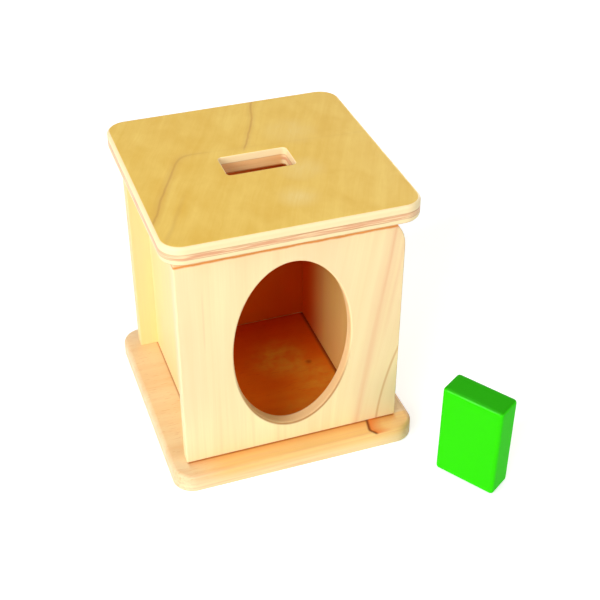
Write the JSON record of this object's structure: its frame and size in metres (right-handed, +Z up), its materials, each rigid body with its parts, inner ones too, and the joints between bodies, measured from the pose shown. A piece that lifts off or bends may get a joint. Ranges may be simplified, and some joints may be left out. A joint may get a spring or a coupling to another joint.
{
  "type": "object permanence box",
  "caption": "Wooden toy box with a slot in the overhanging plywood top, an oval hand opening in the front and a loose green block that is dropped through the slot and fetched out again.",
  "frame": {"origin": "centre of the base board's underside, on the surface that the box stands on", "axes": "+Z up, -Y out of the front panel with the oval opening, +X to the right seen from the front"},
  "size_m": [0.1789, 0.2019, 0.162],
  "materials": {
    "base_wood": "clear satin lacquer",
    "panel_wood": "clear satin lacquer",
    "plywood": "clear satin lacquer",
    "green_lacquer": "green gloss lacquer",
    "zinc_steel": "zinc plated",
    "dowel_wood": "bare, glued in"
  },
  "bodies": {
    "box": {"base_board": "base_wood", "front_panel": "panel_wood", "back_panel": "panel_wood", "left_wall": "panel_wood", "right_wall": "panel_wood", "top_plate": "plywood", "base_screws": "zinc_steel", "top_dowels": "dowel_wood", "wall_dowels": "dowel_wood"},
    "block": {"block": "green_lacquer"}
  },
  "joints": [
    {"name": "block_lift", "type": "slide", "parent": "box", "child": "block", "axis": [0, 0, 1], "range_m": [0, 0.2]}
  ]
}
